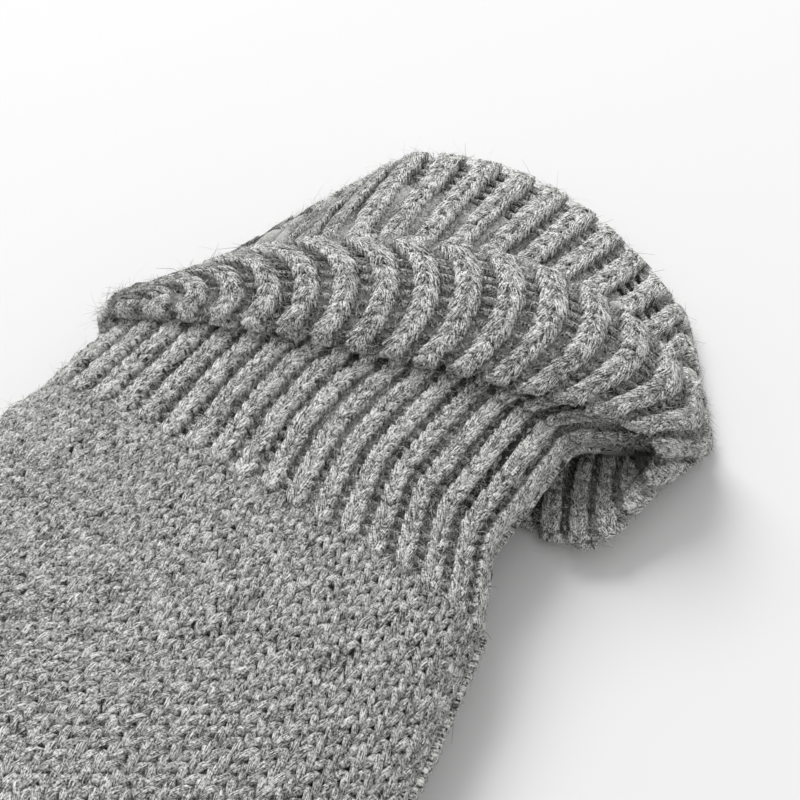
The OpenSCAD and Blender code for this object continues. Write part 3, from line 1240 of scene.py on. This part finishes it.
    def knit(self, stitches: Weave, fabric: Fabric) -> Ground:
        """Knits a piece of fabric.

        Args:
            stitches: Where its stitches are collected.
            fabric: The fabric.

        Returns:
            The ground that lies under them.
        """
        knitter, cloth = self.knitter, fabric.cloth
        if fabric.knit is Knit.RIB:
            knitter.lay_pairs(stitches, cloth, self.rib_stitch, fabric.apex, even=False)
            knitter.lay_bars(stitches, cloth, self.rib_stitch, fabric.fade)
            columns = self.ribs * self.COLUMNS_PER_RIB
            return Ground(self.RIB_DEPTH, fabric.thickness, columns, self.rib_relief(fabric.fade))
        plain = replace(self.plain_stitch, wales=fabric.wales)
        knitter.lay_pairs(stitches, cloth, plain, fabric.apex, even=True)
        columns = max(self.FEWEST_COLUMNS, fabric.wales)
        return Ground(self.PLAIN_DEPTH, fabric.thickness, columns, self.flat_relief)

    def dress(self, fabric: Fabric) -> None:
        """Builds one piece of fabric with its ground, stitches and fibres.

        Args:
            fabric: The fabric.
        """
        knitter, cloth = self.knitter, fabric.cloth
        stitches, fuzz = Weave(), Weave()
        ground = self.knit(stitches, fabric)
        fibres = round(fabric.fibres * self.fluff)
        for brushing in (
            Brushing(fibres * 4, knitter.spike, 0.7, 2.4, 0, 45, radius=0.055),
            Brushing(fibres // 2, knitter.thread, 1.5, 4.5, 5, 50, radius=0.050),
            Brushing(fibres // 12, knitter.long_thread, 2.5, 6.0, 25, 80, radius=0.032, darkest=0.55),
        ):
            knitter.brush(fuzz, cloth, brushing)
        name = self.named(fabric.name)
        pieces = (
            (knitter.lay_ground(f"{name}_ground", cloth, ground, self.mirror), ()),
            (stitches.write(f"{name}_stitches", knitter.wool, self.mirror), fabric.nodes),
            (fuzz.write(f"{name}_fibres", knitter.fibre, self.mirror), ()),
        )
        for piece, nodes in pieces:
            self.tie(piece, nodes, fabric.bend)

    def build_body(self) -> None:
        """Builds the hand, the wrist and the cuff."""
        cuff_nodes = ("cuff_turnback", "cast_on_edge")
        rib, stretch = Knit.RIB, self.stretch
        self.dress(Fabric("hand", ("hand",), self.hand_cloth(), Knit.PLAIN, 6500))
        self.dress(Fabric("wrist", ("wrist_rib",), self.wrist_cloth(), rib, 3000, stretch, fade=0.25))
        self.dress(
            Fabric("mouth", ("cuff_lining",), self.mouth_cloth(), rib, 2800, stretch, thickness=0.45)
        )
        self.dress(
            Fabric("cuff", cuff_nodes, self.turnback_cloth(), rib, 4000, stretch, apex=1, thickness=0.45)
        )

    def build_seam(self, node: str, cloth: Cloth, chain: Legs) -> None:
        """Builds a chain of yarn that joins two edges of knitting.

        Args:
            node: The CAD node that it stands for.
            cloth: The fabric on which it lies.
            chain: Where its loops lie.
        """
        weave = Weave()
        self.knitter.lay_legs(weave, cloth, chain)
        piece = weave.write(self.named(f"{node}_chain"), self.knitter.wool, self.mirror)
        self.tie(piece, (node,), None)

    def build_side_seam(self) -> None:
        """Builds the chain of yarn down the little finger's side."""
        count = self.SIDE_SEAM_LOOPS
        v = (np.arange(count) + 0.5) / count
        u = np.full(count, 0.001)
        chain = Legs(u, v, width=0.011, length=0.020, height=2.0, lean=0.006, sunk=-0.15)
        self.build_seam("side_seam", self.hand_cloth(), chain)

    def digits(self) -> list[Digit]:
        """The five digits, from the thumb to the little finger."""
        base_y = self.knuckle_y - 0.4
        deep = 2.5
        return [
            Digit("thumb", 27.0, 60.0, 0.0, -59.0, -42.72, overlap=3.0, turn=34.0),
            Digit("index", 24.8, 70.0, -0.05, -37.59, base_y, deep),
            Digit("middle", 25.3, 79.0, -0.015, -11.64, base_y, deep),
            Digit("ring", 24.8, 72.0, 0.02, 14.32, base_y, deep),
            Digit("little", 22.4, 57.0, 0.07, 38.81, base_y, deep),
        ]

    def build_digit(self, digit: Digit) -> None:
        """Builds one finger or the thumb, and works out the points just before and just past its base,
        which are passed on as its bend but bend nothing.

        Args:
            digit: Its sizes and place.
        """
        ends = digit.placed(np.array([[0.0, self.BEND_FROM, 0.0], [0.0, self.BEND_TO, 0.0]]))
        start, end = [(self.across_x(x) * MM, y * MM, z * MM) for x, y, z in ends]
        node = digit.name if digit.name == "thumb" else f"{digit.name}_finger"
        nodes = (node, f"{digit.name}_tip_closure")
        bend = (f"{digit.name}_body", start, end)
        cloth = digit.cloth()
        self.dress(
            Fabric(digit.name, nodes, cloth, Knit.PLAIN, self.DIGIT_FIBRES, bend, wales=self.DIGIT_WALES)
        )

    def build_thumb_seam(self) -> None:
        """Builds the ring of yarn where the thumb joins the gusset."""
        thumb = self.digits()[0]
        count = self.THUMB_SEAM_LOOPS
        u = (np.arange(count) + 0.5) / count
        from_end = self.THUMB_SEAM_FROM_END / (thumb.length + thumb.closure + thumb.overlap)
        v = np.full(count, 1 - from_end)
        chain = Legs(u, v, width=0.030, length=0.022, height=1.8, lean=0.012, sunk=0.1)
        self.build_seam("thumb_seam", thumb.cloth(), chain)

    def build(self) -> None:
        """Builds the whole glove."""
        self.build_body()
        self.build_side_seam()
        for digit in self.digits():
            self.build_digit(digit)
        self.build_thumb_seam()
        LOG.info("%s glove: %d pieces", self.side.value, self.pieces)


# ---- The studio ----


@dataclass
class Studio:
    """A pale floor, soft light and the camera, in metres, degrees and watts."""

    target: Point = (0.0102, 0.0444, 0.0191)
    azimuth: float = 34.0
    elevation: float = 50.0
    distance: float = 0.235
    lens: float = 67.5
    floor_size: float = 12.0
    floor_grey: float = 0.78
    key_place: Point = (-1.10, 0.65, 1.30)
    key_size: float = 1.10
    key_power: float = 27.0
    sky_strength: float = 0.66

    def build_floor(self) -> None:
        """Builds the pale floor."""
        bpy.ops.object.select_all(action="DESELECT")
        bpy.ops.mesh.primitive_plane_add(size=self.floor_size)
        floor = bpy.context.object
        floor.name = "floor"
        material, shader = new_material("pale_paper", roughness=0.9, specular=0.1)
        grey = self.floor_grey
        shader.inputs["Base Color"].default_value = (grey, grey, grey, 1.0)
        floor.data.materials.append(material)

    def build_camera(self) -> None:
        """Builds the camera and makes it the scene's."""
        data = bpy.data.cameras.new("camera")
        camera = bpy.data.objects.new("camera", data)
        bpy.context.scene.collection.objects.link(camera)
        turn, rise = math.radians(self.azimuth), math.radians(self.elevation)
        level = math.cos(rise)
        back = Vector((math.sin(turn) * level, -math.cos(turn) * level, math.sin(rise)))
        camera.location = Vector(self.target) + back * self.distance
        camera.rotation_euler = (-back).to_track_quat("-Z", "Y").to_euler()
        data.lens = self.lens
        data.clip_start = 0.01
        bpy.context.scene.camera = camera

    def build_key_light(self) -> None:
        """Builds one soft square light that faces the cuff."""
        data = bpy.data.lights.new("key", "AREA")
        data.size = self.key_size
        data.energy = self.key_power
        light = bpy.data.objects.new("key", data)
        bpy.context.scene.collection.objects.link(light)
        light.location = self.key_place
        aim = Vector(self.target) - Vector(self.key_place)
        light.rotation_euler = aim.to_track_quat("-Z", "Y").to_euler()

    def build_sky(self) -> None:
        """Builds the even white light all round."""
        sky = bpy.data.worlds.new("studio")
        sky.use_nodes = True
        background = sky.node_tree.nodes["Background"]
        background.inputs["Color"].default_value = (1.0, 1.0, 1.0, 1.0)
        background.inputs["Strength"].default_value = self.sky_strength
        bpy.context.scene.world = sky

    def build(self) -> None:
        """Builds the whole studio."""
        self.build_floor()
        self.build_camera()
        self.build_key_light()
        self.build_sky()
        bpy.context.scene.view_settings.view_transform = "Standard"
        LOG.info("studio: floor, camera, key light and sky")


def main() -> None:
    """Builds the studio and both gloves."""
    logging.basicConfig(level=logging.INFO, format="%(message)s")
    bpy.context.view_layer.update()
    Studio().build()
    knitter = Knitter(
        wool=WoolFinish("wool", dark=0.045, middle=0.43, light=0.93).build(),
        # The ground's greys are lower than the yarn's: painted shade for the gaps between stitches and ribs
        ground=WoolFinish("wool_ground_painted_shade", dark=0.04, middle=0.22, light=0.50).build(),
        fibre=FibreFinish("wool_fibre", dark=0.07, light=0.80).build(),
        leg=model_leg(),
        spike=model_spike(),
        thread=model_fibre(3),
        long_thread=model_fibre(5),
        random=np.random.default_rng(7),
    )
    Glove(Side.RIGHT, knitter).build()
    Glove(Side.LEFT, knitter, fluff=0.35).build()


if __name__ == "__main__":
    main()
